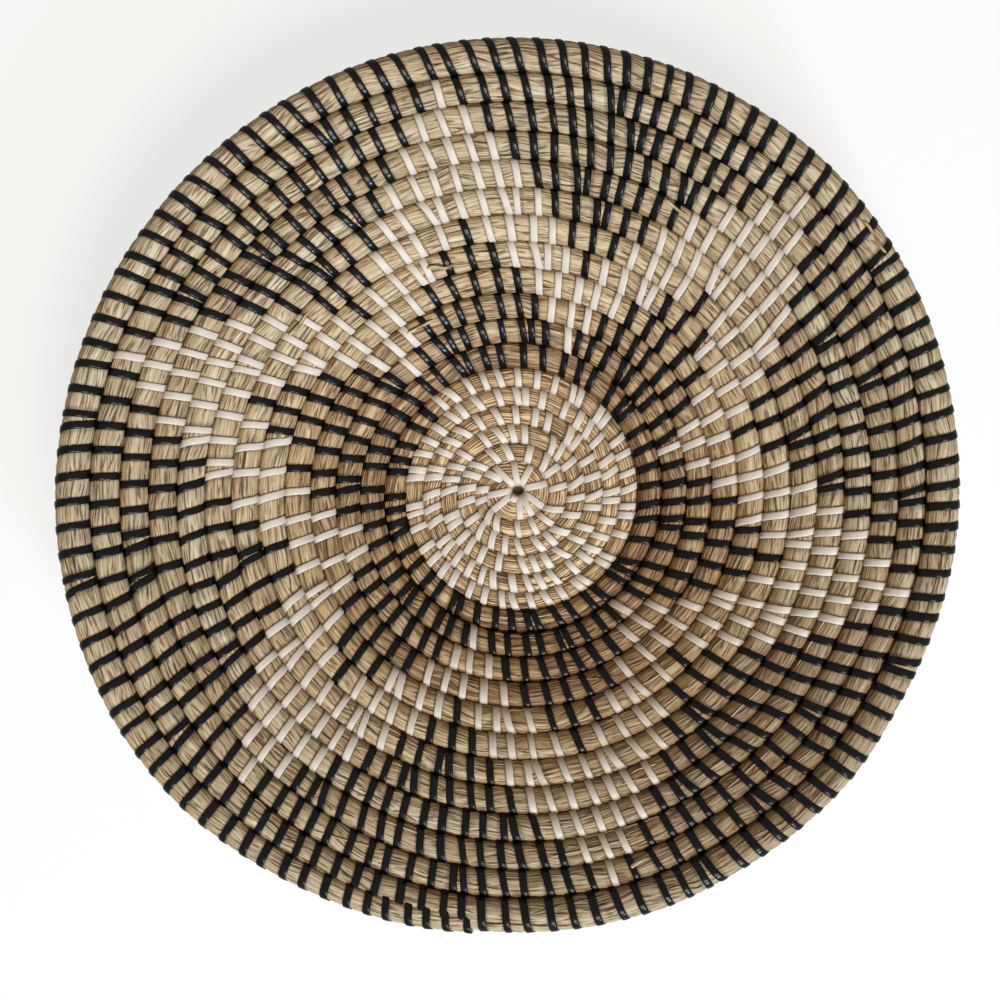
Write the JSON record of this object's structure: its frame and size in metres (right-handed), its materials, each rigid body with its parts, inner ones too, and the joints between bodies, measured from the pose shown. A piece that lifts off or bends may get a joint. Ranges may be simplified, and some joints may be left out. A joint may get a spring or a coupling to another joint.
{
  "type": "coiled seagrass basket",
  "caption": "Shallow round bowl-shaped basket coiled from a seagrass bundle, sewn with black and white plastic strips in a star pattern.",
  "frame": {"origin": "under the middle of the basket's box, on the surface that it stands on; the middle of the coil is 3.1 mm towards +X and 1.2 mm towards -Y of it, because the spiral's rim isn't centred on it", "axes": "+Z up, out of the bowl's mouth; +X to the right and +Y up as the bowl is seen from above in its picture"},
  "size_m": [0.3532, 0.3498, 0.0667],
  "materials": {
    "seagrass": "dry natural grass stalks",
    "white_strip": "semi-matte off-white strip",
    "black_strip": "glossy black strip"
  },
  "bodies": {
    "root": {"seagrass_coil": "seagrass", "white_strip_row_01": "white_strip", "white_strip_row_02": "white_strip", "white_strip_row_03": "white_strip", "white_strip_row_04": "white_strip", "white_strip_row_05": "white_strip", "white_strip_row_06": "white_strip", "black_strip_row_07": "black_strip", "patterned_strip_row_08": "white_strip", "patterned_strip_row_09": "white_strip", "patterned_strip_row_10": "white_strip", "patterned_strip_row_11": "white_strip", "patterned_strip_row_12": "white_strip", "patterned_strip_row_13": "white_strip", "patterned_strip_row_14": "white_strip", "patterned_strip_row_15": "white_strip", "patterned_strip_row_16": "white_strip", "patterned_strip_row_17": "white_strip", "rim_strip": "black_strip", "rim_end_lashing": "black_strip"}
  },
  "joints": []
}
